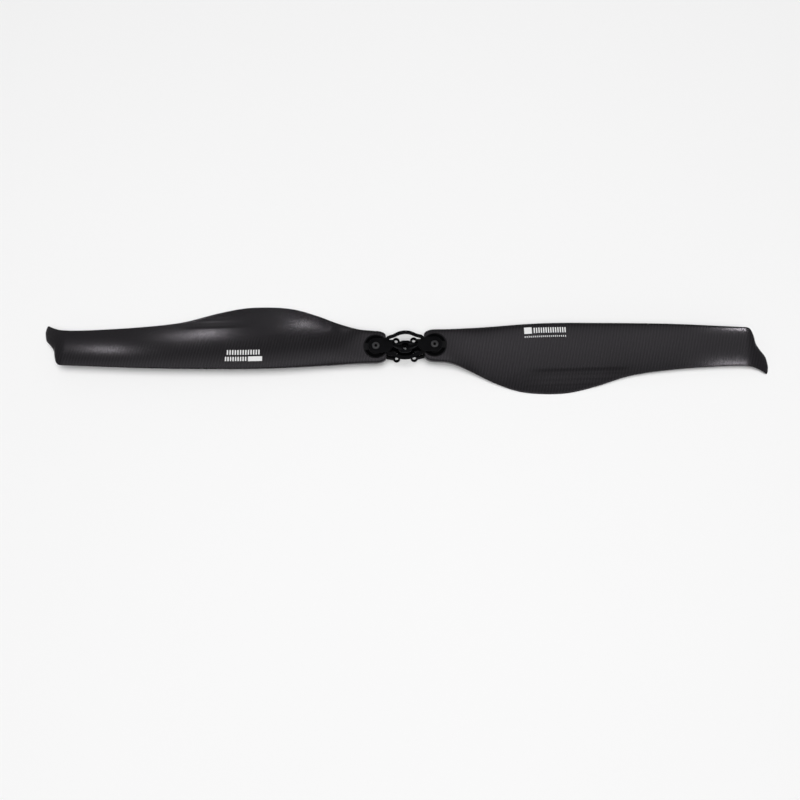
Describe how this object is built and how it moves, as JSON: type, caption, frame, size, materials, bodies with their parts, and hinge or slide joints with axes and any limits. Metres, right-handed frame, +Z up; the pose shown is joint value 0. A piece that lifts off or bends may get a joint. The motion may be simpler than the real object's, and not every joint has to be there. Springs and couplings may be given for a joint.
{
  "type": "folding drone propeller",
  "caption": "Folding carbon propeller: an open machined hub with a forked end on each side, and a long twisted blade that hinges on a bolt in each fork.",
  "frame": {"origin": "centre of the hub's bottom face, where the propeller sits on the motor", "axes": "+X along the right blade from hub to tip; +Y towards that blade's leading edge; +Z up along the spin axis, the thrust direction. Seen from above the propeller turns counter-clockwise"},
  "size_m": [0.6148, 0.0848, 0.0174],
  "materials": {
    "hub_metal": "black anodised, satin",
    "carbon": "twill carbon fibre, satin resin surface",
    "bush_brass": "turned",
    "cap_nylon": "black moulded nylon",
    "washer_plastic": "smooth low-friction plastic",
    "bolt_steel": "turned steel, darkened and lightly oiled"
  },
  "bodies": {
    "hub": {"hub_body": "hub_metal", "pivot_bolt_right": "bolt_steel", "pivot_bolt_left": "bolt_steel", "spring_washer_right": "bolt_steel", "spring_washer_left": "bolt_steel", "pivot_nut_right": "bolt_steel", "pivot_nut_left": "bolt_steel", "thrust_washer_upper_right": "washer_plastic", "thrust_washer_upper_left": "washer_plastic", "thrust_washer_lower_right": "washer_plastic", "thrust_washer_lower_left": "washer_plastic"},
    "right_blade": {"blade_right": "carbon", "blade_bush_right": "bush_brass", "root_cap_upper_right": "cap_nylon", "root_cap_lower_right": "cap_nylon"},
    "left_blade": {"blade_left": "carbon", "blade_bush_left": "bush_brass", "root_cap_upper_left": "cap_nylon", "root_cap_lower_left": "cap_nylon"}
  },
  "joints": [
    {"name": "right_fold", "type": "hinge", "parent": "hub", "child": "right_blade", "pos_m": [0.02465, 0, 0.0115], "axis": [0, 0, 1], "range_deg": [-90, 90]},
    {"name": "left_fold", "type": "hinge", "parent": "hub", "child": "left_blade", "pos_m": [-0.02465, 0, 0.0115], "axis": [0, 0, 1], "range_deg": [-90, 90]}
  ]
}
